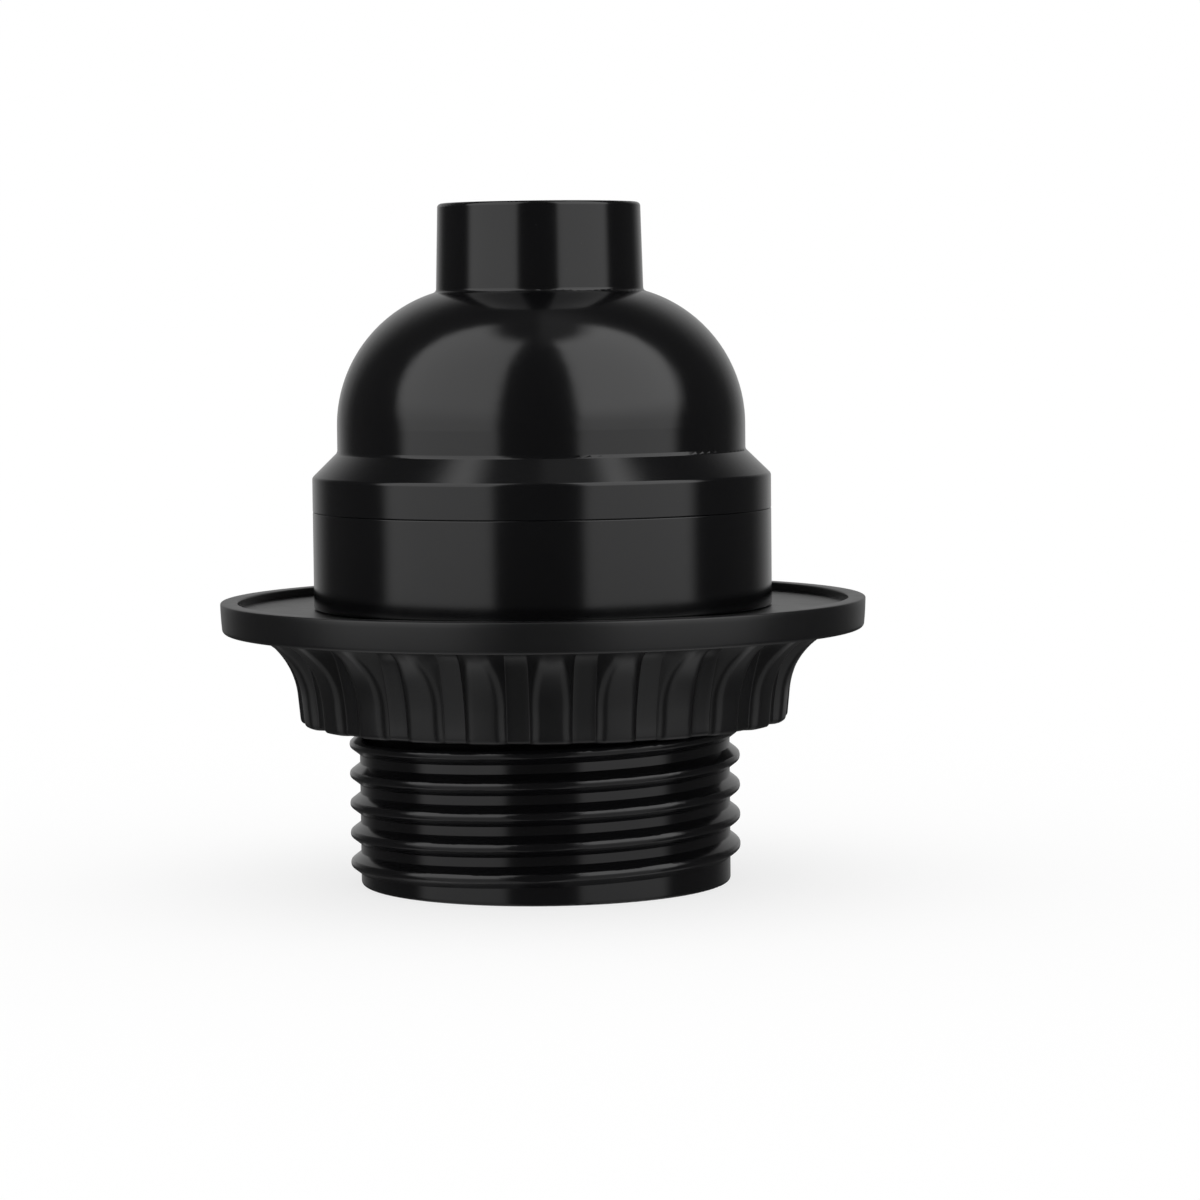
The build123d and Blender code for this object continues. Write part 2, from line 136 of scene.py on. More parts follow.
def moulded_skin_group():
    """Skin of a pressed or moulded part: a slow waviness, a fine grain, and dust specks."""
    group, given, result = new_group(
        "moulded_skin",
        [
            ("Wave Height", "NodeSocketFloat", 0.01),
            ("Grain Size", "NodeSocketFloat", 0.1),
            ("Grain Height", "NodeSocketFloat", 0.002),
            ("Roughness", "NodeSocketFloat", 0.2),
            ("Roughness Spread", "NodeSocketFloat", 0.05),
        ],
        [("Roughness", "NodeSocketFloat"), ("Dust", "NodeSocketFloat"), ("Normal", "NodeSocketVector")],
    )
    place = millimetres(group)
    wave = put(group, "ShaderNodeTexNoise", {"Vector": place, "Scale": WAVE_SCALE, "Detail": 2.0})
    grain_scale = maths(group, "DIVIDE", 1.0, given.outputs["Grain Size"])
    grain = put(group, "ShaderNodeTexNoise", {"Vector": place, "Scale": grain_scale, "Detail": 3.0})
    rub = put(
        group,
        "ShaderNodeTexNoise",
        {"Vector": place, "Scale": RUB_SCALE, "Detail": 6.0, "Roughness": 0.6},
    )
    specks = put(group, "ShaderNodeTexVoronoi", {"Vector": place, "Scale": SPECK_SCALE, "Randomness": 1.0})
    chance = put(group, "ShaderNodeSeparateColor", {"Color": specks.outputs["Color"]})
    near = maths(group, "LESS_THAN", specks.outputs["Distance"], SPECK_SIZE)
    few = maths(group, "GREATER_THAN", chance.outputs["Red"], SPECK_RARITY)
    dust = maths(group, "MULTIPLY", near, few)
    change = maths(group, "SUBTRACT", rub.outputs["Fac"], 0.5)
    change = maths(group, "MULTIPLY", change, given.outputs["Roughness Spread"])
    wave_height = maths(group, "MULTIPLY", wave.outputs["Fac"], given.outputs["Wave Height"])
    grain_height = maths(group, "MULTIPLY", grain.outputs["Fac"], given.outputs["Grain Height"])
    height = maths(group, "ADD", wave_height, grain_height)
    bump = put(group, "ShaderNodeBump", {"Strength": 1.0, "Distance": MM, "Height": height})
    group.links.new(maths(group, "ADD", given.outputs["Roughness"], change), result.inputs["Roughness"])
    group.links.new(dust, result.inputs["Dust"])
    group.links.new(bump.outputs["Normal"], result.inputs["Normal"])
    return group


def worked_metal_group():
    """Surface of a turned, drawn or stamped metal part: fine marks one way, and stains."""
    group, given, result = new_group(
        "worked_metal",
        [
            ("Mark Stretch", "NodeSocketVector", (1.0, 1.0, 12.0)),
            ("Mark Height", "NodeSocketFloat", 0.002),
            ("Roughness", "NodeSocketFloat", 0.25),
            ("Roughness Spread", "NodeSocketFloat", 0.1),
        ],
        [("Roughness", "NodeSocketFloat"), ("Stain", "NodeSocketFloat"), ("Normal", "NodeSocketVector")],
    )
    place = millimetres(group)
    stretched = stretch(group, place, given.outputs["Mark Stretch"])
    marks = put(group, "ShaderNodeTexNoise", {"Vector": stretched, "Scale": 1.0, "Detail": 4.0})
    patches = put(
        group,
        "ShaderNodeTexNoise",
        {"Vector": place, "Scale": STAIN_SCALE, "Detail": 5.0, "Roughness": 0.65},
    )
    change = maths(group, "SUBTRACT", patches.outputs["Fac"], 0.5)
    change = maths(group, "MULTIPLY", change, given.outputs["Roughness Spread"])
    height = maths(group, "MULTIPLY", marks.outputs["Fac"], given.outputs["Mark Height"])
    bump = put(group, "ShaderNodeBump", {"Strength": 1.0, "Distance": MM, "Height": height})
    group.links.new(maths(group, "ADD", given.outputs["Roughness"], change), result.inputs["Roughness"])
    group.links.new(ramp(group, patches.outputs["Fac"], *STAIN_EDGE), result.inputs["Stain"])
    group.links.new(bump.outputs["Normal"], result.inputs["Normal"])
    return group


def place_group(tree, group, **values):
    """The group as a node of this tree, with its named inputs set."""
    node = tree.nodes.new("ShaderNodeGroup")
    node.node_tree = group
    for label, value in values.items():
        node.inputs[label.replace("_", " ").title()].default_value = value
    return node


moulded_skin = moulded_skin_group()
worked_metal = worked_metal_group()


# Materials

PLASTIC_IOR = 1.5
DUST_COLOUR = (0.02, 0.02, 0.02)
CERAMIC_LIGHT = (0.86, 0.84, 0.79)
CERAMIC_DARK = (0.74, 0.71, 0.65)
CERAMIC_GRIT = (0.4, 0.36, 0.3)
GRIT_EDGE = (0.66, 0.72)
FIBRE_DARK = (0.22, 0.05, 0.03)
FIBRE_LIGHT = (0.42, 0.14, 0.09)
STRAND_STRETCH = (1.0, 7.0, 3.0)
STRAND_HEIGHT = 0.02


def black_plastic(name, deep, light, **skin_values):
    """Black moulded plastic with a few dust specks."""
    material, tree, output = new_material(name)
    skin = place_group(tree, moulded_skin, **skin_values)
    cloud = put(tree, "ShaderNodeTexNoise", {"Vector": millimetres(tree), "Scale": 0.3, "Detail": 4.0})
    colour = blend_colour(tree, cloud.outputs["Fac"], deep, light)
    colour = blend_colour(tree, skin.outputs["Dust"], colour, DUST_COLOUR)
    shader = put(
        tree,
        "ShaderNodeBsdfPrincipled",
        {
            "Base Color": colour,
            "Roughness": skin.outputs["Roughness"],
            "Normal": skin.outputs["Normal"],
            "IOR": PLASTIC_IOR,
        },
    )
    tree.links.new(shader.outputs[0], output.inputs["Surface"])
    return material


def metal(name, bright, stained, **metal_values):
    """Bare or plated metal, a little stained."""
    material, tree, output = new_material(name)
    work = place_group(tree, worked_metal, **metal_values)
    shader = put(
        tree,
        "ShaderNodeBsdfPrincipled",
        {
            "Base Color": blend_colour(tree, work.outputs["Stain"], bright, stained),
            "Metallic": 1.0,
            "Roughness": work.outputs["Roughness"],
            "Normal": work.outputs["Normal"],
        },
    )
    tree.links.new(shader.outputs[0], output.inputs["Surface"])
    return material


def fired_ceramic():
    """Unglazed white ceramic: a dry, slightly speckled surface."""
    material, tree, output = new_material("white_ceramic")
    place = millimetres(tree)
    skin = place_group(
        tree,
        moulded_skin,
        wave_height=0.01,
        grain_size=0.12,
        grain_height=0.02,
        roughness=0.55,
        roughness_spread=0.2,
    )
    cloud = put(tree, "ShaderNodeTexNoise", {"Vector": place, "Scale": 0.5, "Detail": 6.0})
    grit = put(tree, "ShaderNodeTexNoise", {"Vector": place, "Scale": 6.0, "Detail": 2.0})
    colour = blend_colour(tree, cloud.outputs["Fac"], CERAMIC_LIGHT, CERAMIC_DARK)
    colour = blend_colour(tree, ramp(tree, grit.outputs["Fac"], *GRIT_EDGE), colour, CERAMIC_GRIT)
    shader = put(
        tree,
        "ShaderNodeBsdfPrincipled",
        {"Base Color": colour, "Roughness": skin.outputs["Roughness"], "Normal": skin.outputs["Normal"]},
    )
    tree.links.new(shader.outputs[0], output.inputs["Surface"])
    return material


def pressed_fibre():
    """Dark red vulcanised fibre with short strands."""
    material, tree, output = new_material("red_fibre")
    along = stretch(tree, millimetres(tree), STRAND_STRETCH)
    strands = put(tree, "ShaderNodeTexNoise", {"Vector": along, "Scale": 1.4, "Detail": 5.0})
    colour = blend_colour(tree, strands.outputs["Fac"], FIBRE_DARK, FIBRE_LIGHT)
    height = maths(tree, "MULTIPLY", strands.outputs["Fac"], STRAND_HEIGHT)
    bump = put(tree, "ShaderNodeBump", {"Strength": 1.0, "Distance": MM, "Height": height})
    shader = put(
        tree,
        "ShaderNodeBsdfPrincipled",
        {"Base Color": colour, "Roughness": 0.62, "Normal": bump.outputs["Normal"]},
    )
    tree.links.new(shader.outputs[0], output.inputs["Surface"])
    return material


materials = {
    "black_moulding": black_plastic(
        "black_moulding",
        (0.0026, 0.0026, 0.003),
        (0.0036, 0.0036, 0.0041),
        wave_height=0.004,
        grain_size=0.25,
        grain_height=0.0004,
        roughness=0.15,
        roughness_spread=0.06,
    ),
    "ring_moulding": black_plastic(
        "ring_moulding",
        (0.0035, 0.0035, 0.0039),
        (0.005, 0.005, 0.0055),
        wave_height=0.004,
        grain_size=0.08,
        grain_height=0.0012,
        roughness=0.32,
        roughness_spread=0.1,
    ),
    "zinc_plated_steel": metal(
        "zinc_plated_steel",
        (0.62, 0.63, 0.64),
        (0.5, 0.5, 0.48),
        mark_stretch=(0.3, 0.3, 9.0),
        mark_height=0.004,
        roughness=0.28,
        roughness_spread=0.16,
    ),
    "nickel_plated_steel": metal(
        "nickel_plated_steel",
        (0.66, 0.64, 0.6),
        (0.55, 0.52, 0.46),
        mark_stretch=(4.0, 0.5, 4.0),
        mark_height=0.002,
        roughness=0.2,
        roughness_spread=0.12,
    ),
    "white_ceramic": fired_ceramic(),
    "shell_aluminium": metal(
        "shell_aluminium",
        (0.8, 0.8, 0.81),
        (0.68, 0.68, 0.67),
        mark_stretch=(0.4, 0.4, 7.0),
        mark_height=0.003,
        roughness=0.27,
        roughness_spread=0.14,
    ),
    "red_fibre": pressed_fibre(),
    "contact_brass": metal(
        "contact_brass",
        (0.8, 0.62, 0.3),
        (0.5, 0.33, 0.14),
        mark_stretch=(0.5, 6.0, 6.0),
        mark_height=0.002,
        roughness=0.24,
        roughness_spread=0.14,
    ),
}

for part in frame["record"]["subparts"]:
    mesh = nodes[part["node"]].data
    mesh.materials.clear()
    mesh.materials.append(materials[part["material_slot"]])


# Threaded pieces that stand for plain solids

SHELL_PITCH = 3.63
SHELL_SHEET = 0.4
SHELL_ROOT_RADIUS = 13.25
SHELL_THREAD_DEPTH = 0.75
SHELL_NECK_RADIUS = 11.6
SHELL_HOLE_RADIUS = 3.2
SHELL_THREAD_RANGE = (6.0, 20.2)
SHELL_CONE_RANGE = (20.4, 23.0)
SHELL_BEND = 0.5
SHELL_BEND_POINTS = ((0.88, 0.5), (0.5, 0.88))
SHELL_LIP_HEIGHT = 0.5
SHELL_LIP_REACH = (0.7, 0.32)
SHELL_WALL_ROWS = 68
SHELL_CONE_ROWS = 6
SHELL_STEPS = 144
RIVET_OFFSET = 8.9
RIVET_HOLE_RADIUS = 1.26
RIVET_HOLE_DEPTH = 3
RIVET_HOLE_SIDES = 48
RIVET_ANGLES = (40.0, 235.0)
BUSHING_PITCH = 0.94
BUSHING_CREST_RADIUS = 4.57
BUSHING_THREAD_DEPTH = 0.5
BUSHING_THREAD_FADE = 0.6
THREAD_BELOW_FOOT = 0.2
THREAD_BELOW_TOP = 0.1
TAP_OVERRUN = 1
TAP_TIP_RADIUS = 0.01
TAP_ROWS = 130
TAP_STEPS = 96
FLANK_STEEPNESS = 1.3
ROOT_SHARE = 0.15
MERGE_DISTANCE = 0.001
SHARP_EDGE = radians(35)


def round_wave(phase):
    """Rolled thread: 0 at the root and 1 at the crest, with round valleys and crests."""
    return 0.5 - 0.5 * cos(2 * pi * phase)


def sharp_wave(phase):
    """Cut thread: straight flanks between a narrow crest and a narrow root."""
    climb = abs(2 * (phase % 1.0) - 1)
    return min(max(FLANK_STEEPNESS * climb - ROOT_SHARE, 0.0), 1.0)


def turned_piece(name, rows, steps, pitch, wave):
    """A closed outline of (radius, height, thread depth) rows, turned about Z with a right-hand thread."""
    turns = [2 * pi * i / steps for i in range(steps)]
    grid = []
    for radius, height, depth in rows:
        reach = [radius + depth * wave(height / pitch - turn / (2 * pi)) for turn in turns]
        grid.append((height, list(zip(turns, reach))))
    return gridded_piece(name, grid)


def gridded_piece(name, rows):
    """A closed skin through (height, [(turn, radius), ...]) rows that run all round Z, in millimetres."""
    points = []
    for height, row in rows:
        points += [(radius * cos(turn) * MM, radius * sin(turn) * MM, height * MM) for turn, radius in row]
    steps = len(rows[0][1])
    faces = []
    for j in range(len(rows)):
        low = j * steps
        high = (j + 1) % len(rows) * steps
        for i in range(steps):
            beside = (i + 1) % steps
            faces.append((low + i, low + beside, high + beside, high + i))
    mesh = bpy.data.meshes.new(name)
    mesh.from_pydata(points, [], faces)
    piece = bpy.data.objects.new(name, mesh)
    bpy.context.scene.collection.objects.link(piece)
    select_only(piece)
    bpy.ops.object.mode_set(mode="EDIT")
    bpy.ops.mesh.select_all(action="SELECT")
    bpy.ops.mesh.normals_make_consistent(inside=False)
    bpy.ops.object.mode_set(mode="OBJECT")
    return piece


def select_only(piece):
    """Leave this piece alone selected and active."""
    bpy.ops.object.select_all(action="DESELECT")
    piece.select_set(True)
    bpy.context.view_layer.objects.active = piece


def cut(piece, cutter):
    """Cut one piece's form out of another, and drop the cutter."""
    select_only(piece)
    cutting = piece.modifiers.new("cut", "BOOLEAN")
    cutting.object = cutter
    cutting.solver = "EXACT"
    bpy.ops.object.modifier_apply(modifier=cutting.name)
    bpy.data.objects.remove(cutter)


def finished(piece, node, body, finish):
    """The piece, smooth but for its sharp edges, in its finish and on its body, in place of a node."""
    select_only(piece)
    piece.data.materials.clear()
    piece.data.materials.append(materials[finish])
    bpy.ops.object.shade_smooth_by_angle(angle=SHARP_EDGE)
    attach(piece, body)
    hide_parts(node)
    return piece


def spread(low, high, count):
    """Evenly spaced values from low to high."""
    return [low + (high - low) * i / count for i in range(count + 1)]


def fade(height, low, high, length):
    """1 inside a range, falling smoothly to 0 over the given length at both of its ends."""
    share = min(max(min(height - low, high - height) / length, 0.0), 1.0)
    return share * share * (3 - 2 * share)


def threaded_shell():
    """The screw shell with its rolled thread, turned from one outline: wall, cone, neck and base."""
    low, high = (corner[2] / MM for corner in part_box("screw_shell"))
    thread_low, thread_high = SHELL_THREAD_RANGE
    cone_low, cone_high = SHELL_CONE_RANGE
    inner = []
    for height in spread(low + SHELL_LIP_HEIGHT, cone_low, SHELL_WALL_ROWS):
        depth = -SHELL_THREAD_DEPTH * fade(height, thread_low, thread_high, SHELL_PITCH / 2)
        inner.append((SHELL_ROOT_RADIUS, height, depth))
    for height in spread(cone_low, cone_high, SHELL_CONE_ROWS)[1:]:
        share = (height - cone_low) / (cone_high - cone_low)
        inner.append((SHELL_ROOT_RADIUS + (SHELL_NECK_RADIUS - SHELL_ROOT_RADIUS) * share, height, 0.0))
    outer = [(radius + SHELL_SHEET, height, depth) for radius, height, depth in reversed(inner)]
    outer_bend = SHELL_BEND + SHELL_SHEET
    bend_radius = SHELL_NECK_RADIUS - SHELL_BEND
    bend_low = high - outer_bend
    base = [(SHELL_NECK_RADIUS, bend_low)]
    base += [(bend_radius + SHELL_BEND * a, bend_low + SHELL_BEND * b) for a, b in SHELL_BEND_POINTS]
    base += [(bend_radius, high - SHELL_SHEET), (SHELL_HOLE_RADIUS, high - SHELL_SHEET)]
    base += [(SHELL_HOLE_RADIUS, high), (bend_radius, high)]
    base += [(bend_radius + outer_bend * b, bend_low + outer_bend * a) for a, b in SHELL_BEND_POINTS]
    base += [(SHELL_NECK_RADIUS + SHELL_SHEET, bend_low)]
    lip = [(SHELL_ROOT_RADIUS + reach, low, 0.0) for reach in SHELL_LIP_REACH]
    rows = inner + [(radius, height, 0.0) for radius, height in base] + outer + lip
    shell = turned_piece("threaded_shell", rows, SHELL_STEPS, SHELL_PITCH, round_wave)
    for angle in RIVET_ANGLES:
        place = (RIVET_OFFSET * cos(radians(angle)) * MM, RIVET_OFFSET * sin(radians(angle)) * MM, high * MM)
        bpy.ops.mesh.primitive_cylinder_add(
            vertices=RIVET_HOLE_SIDES,
            radius=RIVET_HOLE_RADIUS * MM,
            depth=RIVET_HOLE_DEPTH * MM,
            location=place,
        )
        cut(shell, bpy.context.object)
    return finished(shell, "screw_shell", "block", "shell_aluminium")


def tapped_bushing():
    """The neck bushing with the fine thread that the lamp stem screws into."""
    low, high = (corner[2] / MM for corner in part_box("neck_bushing"))
    bushing = nodes["neck_bushing"].copy()
    bushing.data = nodes["neck_bushing"].data.copy()
    bushing.name = "tapped_bushing"
    bushing.parent = None
    bpy.context.scene.collection.objects.link(bushing)
    select_only(bushing)
    bpy.ops.object.mode_set(mode="EDIT")
    bpy.ops.mesh.select_all(action="SELECT")
    bpy.ops.mesh.remove_doubles(threshold=MERGE_DISTANCE * MM)
    bpy.ops.object.mode_set(mode="OBJECT")
    thread_low = low - THREAD_BELOW_FOOT
    thread_high = high - THREAD_BELOW_TOP
    rows = [(TAP_TIP_RADIUS, low - TAP_OVERRUN, 0.0)]
    for height in spread(low - TAP_OVERRUN, high + TAP_OVERRUN, TAP_ROWS):
        depth = BUSHING_THREAD_DEPTH * fade(height, thread_low, thread_high, BUSHING_THREAD_FADE)
        rows.append((BUSHING_CREST_RADIUS, height, depth))
    rows.append((TAP_TIP_RADIUS, high + TAP_OVERRUN, 0.0))
    cut(bushing, turned_piece("tap", rows, TAP_STEPS, BUSHING_PITCH, sharp_wave))
    return finished(bushing, "neck_bushing", "cap_and_bushing", "zinc_plated_steel")


# The shade ring, with its rounded ribs and the flutes between them

FLUTES = 24
FLUTE_TURN = 9.0
FLUTE_FLOOR = 20.2
FLUTE_LEAN = 0.027
FLUTE_HALF_WIDTH = 0.92
FLUTE_SLOPE = radians(35)
FLUTE_CORNER = 0.1
FLUTE_HEAD = 1.5
RIB_ROUND = 1.0
ROUND_SHRINK = 0.98
HALF_STEP = pi / FLUTES
RIB_LIMIT = 0.97 * HALF_STEP
CORNER_STEPS = 4
EDGE_STEPS = 8
RIB_STEPS = 3
WALL_WAY = complex(sin(FLUTE_SLOPE), cos(FLUTE_SLOPE))
WALL_SIDE = complex(cos(FLUTE_SLOPE), -sin(FLUTE_SLOPE))
COLLAR_LENGTH = 7.85
COLLAR_RADIUS = 20.75
COLLAR_SLANT_TOP = 2.5
COLLAR_SLANT = atan(0.1)
COLLAR_ARC = 6.4
COLLAR_END_ROUND = 0.45
END_ROWS = 6
SLANT_ROWS = 5
ARC_ROWS = 13
HEAD_ROWS = 9
FLANGE_RADIUS = 27.45
FLANGE_HEIGHT = 2.6
FLANGE_DRAFT = 0.12
FLANGE_BULGE = 0.02
FLANGE_ROUND = 0.4
UNDERSIDE_RADIUS = 25.4
DISH_STEP = 2
RIM_WIDTH = 1.47
RIM_RISE = 0.7
RIM_ROUND = 0.15
FLANGE_STEPS = 6
RIM_STEPS = 4
RING_BORE = 16.85


def arc(centre, radius, start, end, count):
    """Points on a circle in the plane of complex numbers, from one angle to another in degrees."""
    return [centre + radius * complex(cos(radians(a)), sin(radians(a))) for a in spread(start, end, count)]


def edge_centre(rib_radius, floor_radius, edge_round):
    """Middle of the round between a flute's wall and the face of the rib beside it, as across + out * 1j."""
    start = complex(FLUTE_HALF_WIDTH, floor_radius) + edge_round * WALL_SIDE
    along = (start * WALL_WAY.conjugate()).real
    reach = sqrt(along**2 - abs(start) ** 2 + (rib_radius - edge_round) ** 2) - along
    return start + reach * WALL_WAY


def edge_fits(centre, edge_round, floor_radius):
    """Whether the round begins clear of the floor's corner and ends on its own half of the rib."""
    start_height = (centre - edge_round * WALL_SIDE).imag - floor_radius
    return start_height >= FLUTE_CORNER and atan2(centre.real, centre.imag) <= RIB_LIMIT


def half_flute(rib_radius, floor_radius):
    """Half a flute and half the rib beside it as across + out * 1j, from the floor's middle to the rib's."""
    slope = FLUTE_SLOPE * 180 / pi
    edge_round = RIB_ROUND
    centre = edge_centre(rib_radius, floor_radius, edge_round)
    while not edge_fits(centre, edge_round, floor_radius):
        edge_round *= ROUND_SHRINK
        centre = edge_centre(rib_radius, floor_radius, edge_round)
    corner_across = FLUTE_HALF_WIDTH - FLUTE_CORNER * (1 - sin(FLUTE_SLOPE)) / cos(FLUTE_SLOPE)
    corner_centre = complex(corner_across, floor_radius + FLUTE_CORNER)
    corner = arc(corner_centre, FLUTE_CORNER, -90, -slope, CORNER_STEPS)
    lean = atan2(centre.imag, centre.real) * 180 / pi
    edge = arc(centre, edge_round, 180 - slope, lean, EDGE_STEPS)
    wall = (corner[-1] + edge[0]) / 2
    turn = atan2(edge[-1].real, edge[-1].imag)
    rib = [rib_radius * complex(sin(a), cos(a)) for a in spread(turn, HALF_STEP, RIB_STEPS)[1:]]
    floor = [complex(0, floor_radius), complex(corner_across / 2, floor_radius)]
    return floor + corner + [wall] + edge + rib


def collar_radius(rise):
    """How far out the ribs reach at a height above the collar's end: a straight slant, then a flare."""
    if rise <= COLLAR_SLANT_TOP:
        return COLLAR_RADIUS + rise * tan(COLLAR_SLANT)
    start_radius = COLLAR_RADIUS + COLLAR_SLANT_TOP * tan(COLLAR_SLANT)
    centre_radius = start_radius + COLLAR_ARC * cos(COLLAR_SLANT)
    centre_rise = COLLAR_SLANT_TOP - COLLAR_ARC * sin(COLLAR_SLANT)
    return centre_radius - sqrt(COLLAR_ARC**2 - (rise - centre_rise) ** 2)


def collar_row(rise):
    """The collar's outline at a height above its end, all round, as (turn, radius) pairs."""
    inset = 0.0
    if rise < COLLAR_END_ROUND:
        inset = COLLAR_END_ROUND - sqrt(COLLAR_END_ROUND**2 - (COLLAR_END_ROUND - rise) ** 2)
    floor_radius = FLUTE_FLOOR + FLUTE_LEAN * rise**2
    head = rise - (COLLAR_LENGTH - FLUTE_HEAD)
    if head > 0:
        floor_radius += FLUTE_HEAD - sqrt(max(FLUTE_HEAD**2 - head**2, 0.0))
    half = half_flute(collar_radius(rise) - inset, floor_radius - inset)
    half = [(atan2(point.real, point.imag), abs(point)) for point in half]
    step = [(-turn, radius) for turn, radius in reversed(half[1:])] + half[:-1]
    row = []
    for i in range(FLUTES):
        row += [(radians(FLUTE_TURN) + 2 * HALF_STEP * i + turn, radius) for turn, radius in step]
    return row


def fine_ring():
    """The ring from one grid: up the fluted collar, round the dished flange and down the bore."""
    low, high = (corner[2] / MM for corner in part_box("shade_ring"))
    rises = spread(0, COLLAR_END_ROUND, END_ROWS)
    rises += spread(COLLAR_END_ROUND, COLLAR_SLANT_TOP, SLANT_ROWS)[1:]
    rises += spread(COLLAR_SLANT_TOP, COLLAR_LENGTH - FLUTE_HEAD, ARC_ROWS)[1:]
    rises += [COLLAR_LENGTH - FLUTE_HEAD * (1 - sin(radians(a))) for a in spread(0, 90, HEAD_ROWS)[1:]]
    rows = [(low + rise, collar_row(rise)) for rise in rises]
    turns = [turn for turn, radius in rows[-1][1]]
    under = high - FLANGE_HEIGHT
    dish = high - RIM_RISE
    corner = complex(FLANGE_RADIUS - FLANGE_DRAFT - FLANGE_ROUND, under + FLANGE_ROUND)
    outline = [complex(UNDERSIDE_RADIUS, under)] + arc(corner, FLANGE_ROUND, -90, 0, FLANGE_STEPS)
    face_height = FLANGE_HEIGHT - FLANGE_ROUND - RIM_ROUND
    for share in spread(0, 1, FLANGE_STEPS)[1:]:
        bulge = FLANGE_BULGE * 4 * share * (1 - share)
        reach = FLANGE_RADIUS - FLANGE_DRAFT * (1 - share) + bulge
        outline.append(complex(reach, under + FLANGE_ROUND + share * face_height))
    outline += arc(complex(FLANGE_RADIUS - RIM_ROUND, high - RIM_ROUND), RIM_ROUND, 0, 90, RIM_STEPS)[1:]
    inner = FLANGE_RADIUS - RIM_WIDTH
    outline += arc(complex(inner + RIM_ROUND, high - RIM_ROUND), RIM_ROUND, 90, 180, RIM_STEPS)
    outline += [complex(inner, dish), complex(inner - DISH_STEP, dish)]
    outline += [complex(RING_BORE, dish), complex(RING_BORE, low)]
    rows += [(point.imag, [(turn, point.real) for turn in turns]) for point in outline]
    ring = gridded_piece("fluted_ring", rows)
    return finished(ring, "shade_ring", "ring", "ring_moulding")


threaded_shell()
tapped_bushing()
fine_ring()


# What glossy surfaces see, in degrees of turn from the front and of rise above the level

BOX_TURN = 1.8
BOX_LEAN = 0.43
BOX_INNER_SIDE = (20.2, 24.8)
BOX_OUTER_SIDE = (77.5, 86.5)
BOX_TOP = (69.0, 78.0)
BOX_FOOT = (-12.0, 1.0)
BOX_FOOT_LEVELS = (0.35, 1.12)
BOX_UPPER_HALF = (2.0, 18.0)
BOX_UPPER_LEVEL = 0.35
BOX_UPPER_EXTRA = 0.3
RIGHT_SIDE = (-5.0, 5.0)
BACK_SIDE = (128.0, 165.0)
BACK_TOP = (20.0, 50.0)
BACK_FOOT = (-12.0, -2.0)
BACK_LEVEL = 0.4
CEILING_SIDE = (60.0, 85.0)
CEILING_LEVEL = 0.05
CEILING_EXTRA = 0.15
GROUND_TOP = (-35.0, -60.0)
GROUND_SIDE = (70.0, 110.0)
GROUND_LEVEL = 0.5
LEAST_LEVEL = 0.06


def product(tree, first, *others):
    """Values or sockets multiplied together."""
    for other in others:
        first = maths(tree, "MULTIPLY", first, other)
    return first


def total(tree, first, *others):
    """Values or sockets added up."""
    for other in others:
        first = maths(tree, "ADD", first, other)
    return first


def soft_boxes(tree, turn, rise):
    """Two tall soft boxes with a dark gap between them, a pale back, a dim ceiling and faint light below."""
    across = maths(tree, "ABSOLUTE", turn)
    right = ramp(tree, turn, *RIGHT_SIDE)
    lean = product(tree, maths(tree, "MAXIMUM", rise, 0.0), BOX_LEAN)
    inner = ramp(tree, across, *BOX_INNER_SIDE)
    outer = ramp(tree, maths(tree, "SUBTRACT", across, lean), *BOX_OUTER_SIDE, 1.0, 0.0)
    top = ramp(tree, rise, *BOX_TOP, 1.0, 0.0)
    upper_level = total(tree, product(tree, right, BOX_UPPER_EXTRA), BOX_UPPER_LEVEL)
    upper = product(tree, ramp(tree, rise, *BOX_UPPER_HALF), upper_level)
    bright = total(tree, ramp(tree, rise, *BOX_FOOT, *BOX_FOOT_LEVELS), upper)
    boxes = product(tree, inner, outer, top, bright)
    back_top = ramp(tree, rise, *BACK_TOP, 1.0, 0.0)
    back_foot = ramp(tree, rise, *BACK_FOOT)
    back = product(tree, ramp(tree, across, *BACK_SIDE), back_top, back_foot, BACK_LEVEL)
    ceiling_level = total(tree, product(tree, right, CEILING_EXTRA), CEILING_LEVEL)
    ceiling = product(tree, ramp(tree, rise, *CEILING_SIDE), ceiling_level)
    ground_side = ramp(tree, across, *GROUND_SIDE)
    ground = product(tree, ramp(tree, rise, *GROUND_TOP), ground_side, GROUND_LEVEL)
    return total(tree, boxes, back, ceiling, ground, LEAST_LEVEL)


# Studio: pale floor, soft light and the photograph's camera

PLAIN_LEVEL = 0.92
BACKDROP_LEVEL = 1.0
FLOOR_SIZE = 20
FLOOR_GREY = 0.3
FLOOR_GLOW = 0.725
CAMERA_DISTANCE = 0.347
CAMERA_HEIGHT = 0.0491
PICTURE_WIDTH = 1200
FOCAL_PIXELS = 4077
AXIS_PIXEL = 540
MIDDLE_HEIGHT = 0.024
PICTURE_ROLL = 0.59


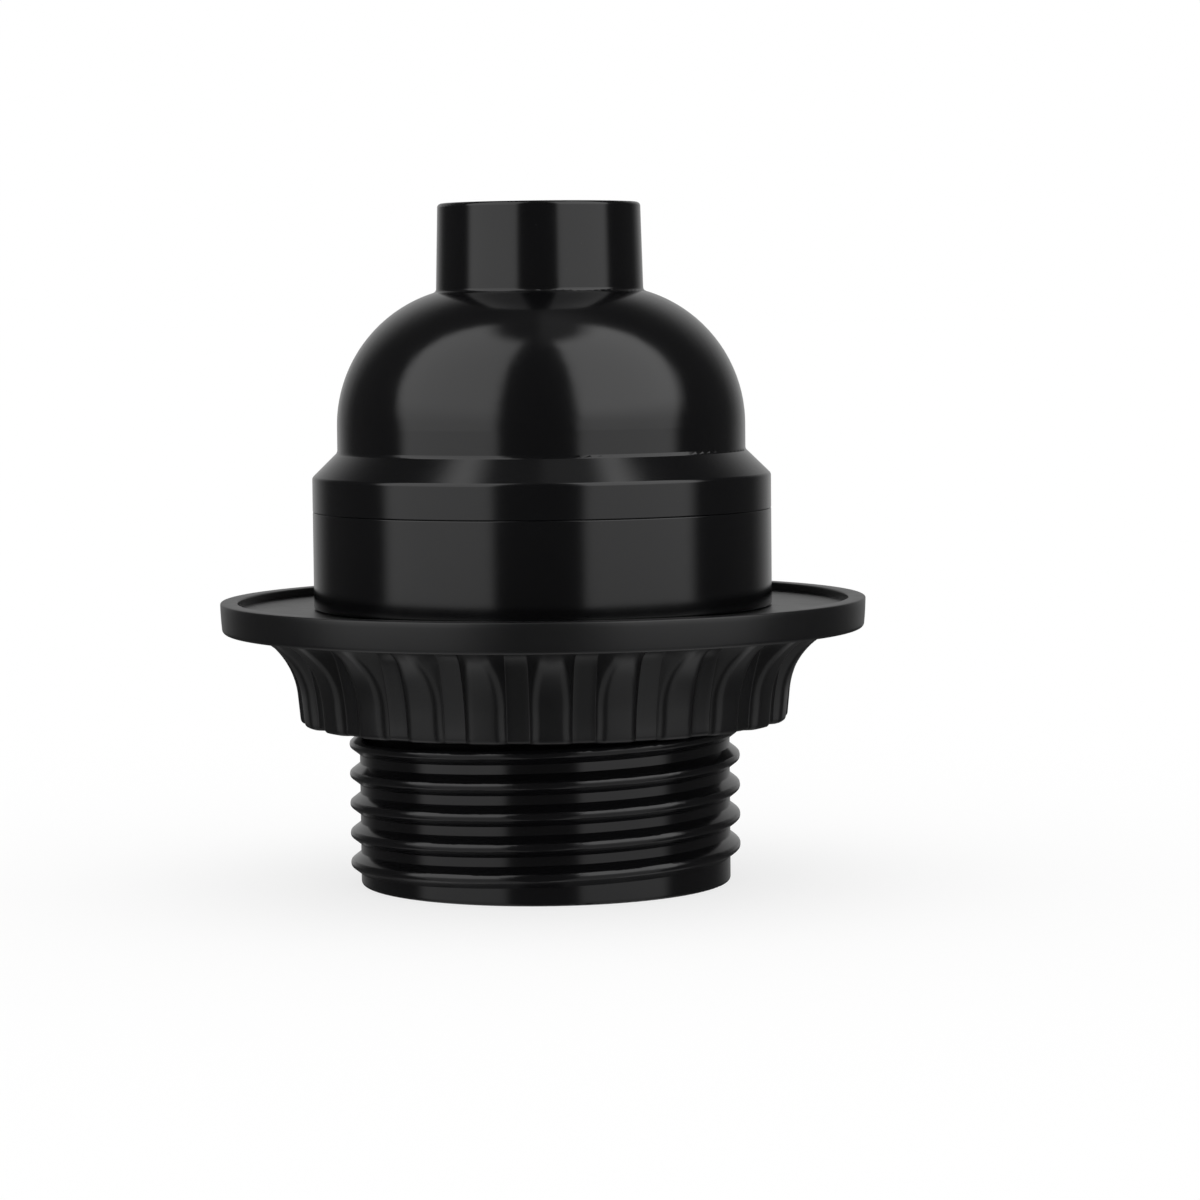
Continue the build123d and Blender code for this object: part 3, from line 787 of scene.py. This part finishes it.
def studio_world():
    """Plain light from all round, a white backdrop, and soft boxes that only glossy surfaces see."""
    world = bpy.data.worlds.new("studio")
    bpy.context.scene.world = world
    world.use_nodes = True
    tree = world.node_tree
    tree.nodes.clear()
    output = tree.nodes.new("ShaderNodeOutputWorld")
    ray = put(tree, "ShaderNodeTexCoord").outputs["Generated"]
    parts = put(tree, "ShaderNodeSeparateXYZ", {"Vector": ray})
    x, y, z = (parts.outputs[i] for i in range(3))
    turn = maths(tree, "ARCTAN2", x, maths(tree, "MULTIPLY", y, -1.0))
    turn = maths(tree, "ADD", maths(tree, "MULTIPLY", turn, 180 / pi), BOX_TURN)
    rise = maths(tree, "MULTIPLY", maths(tree, "ARCSINE", z), 180 / pi)
    glossy_level = soft_boxes(tree, turn, rise)
    path = put(tree, "ShaderNodeLightPath")
    pale = maths(tree, "MAXIMUM", path.outputs["Is Camera Ray"], path.outputs["Is Transmission Ray"])
    plain = put(tree, "ShaderNodeMix", {"Factor": path.outputs["Is Glossy Ray"]}, data_type="FLOAT")
    plain.inputs[2].default_value = PLAIN_LEVEL
    tree.links.new(glossy_level, plain.inputs[3])
    level = put(tree, "ShaderNodeMix", {"Factor": pale}, data_type="FLOAT")
    tree.links.new(plain.outputs[0], level.inputs[2])
    level.inputs[3].default_value = BACKDROP_LEVEL
    light = put(tree, "ShaderNodeBackground", {"Color": (1.0, 1.0, 1.0, 1.0), "Strength": level.outputs[0]})
    tree.links.new(light.outputs[0], output.inputs["Surface"])
    world.cycles.sampling_method = "NONE"


def studio_floor():
    """White floor, seen from above only, so that light also reaches the object from below."""
    bpy.ops.mesh.primitive_plane_add(size=FLOOR_SIZE)
    floor = bpy.context.object
    floor.name = "floor"
    material, tree, output = new_material("floor_white")
    grey = put(tree, "ShaderNodeBsdfDiffuse", {"Color": (FLOOR_GREY, FLOOR_GREY, FLOOR_GREY, 1.0)})
    glow = put(tree, "ShaderNodeEmission", {"Color": (1.0, 1.0, 1.0, 1.0), "Strength": FLOOR_GLOW})
    lit = put(tree, "ShaderNodeAddShader")
    tree.links.new(grey.outputs[0], lit.inputs[0])
    tree.links.new(glow.outputs[0], lit.inputs[1])
    clear = put(tree, "ShaderNodeBsdfTransparent")
    side = put(tree, "ShaderNodeNewGeometry").outputs["Backfacing"]
    shown = put(tree, "ShaderNodeMixShader", {"Fac": side})
    tree.links.new(lit.outputs[0], shown.inputs[1])
    tree.links.new(clear.outputs[0], shown.inputs[2])
    tree.links.new(shown.outputs[0], output.inputs["Surface"])
    floor.data.materials.append(material)
    floor.visible_diffuse = False
    floor.visible_glossy = False
    floor.visible_transmission = False
    floor.visible_shadow = False


def photo_camera():
    """The photograph's camera: a little above the floor, slightly rolled, aimed beside the axis."""
    lens = bpy.data.cameras.new("photo_camera")
    camera = bpy.data.objects.new("photo_camera", lens)
    bpy.context.scene.collection.objects.link(camera)
    lens.sensor_width = 36.0
    lens.lens = FOCAL_PIXELS / PICTURE_WIDTH * lens.sensor_width
    lens.clip_start = 0.01
    lens.clip_end = 100.0
    camera.location = (0.0, -CAMERA_DISTANCE, CAMERA_HEIGHT)
    down = atan((CAMERA_HEIGHT - MIDDLE_HEIGHT) / CAMERA_DISTANCE)
    aside = atan((PICTURE_WIDTH / 2 - AXIS_PIXEL) / FOCAL_PIXELS)
    camera.rotation_euler = (pi / 2 - down, radians(PICTURE_ROLL), -aside)
    bpy.context.scene.camera = camera


studio_world()
studio_floor()
photo_camera()
bpy.context.scene.view_settings.view_transform = "Standard"
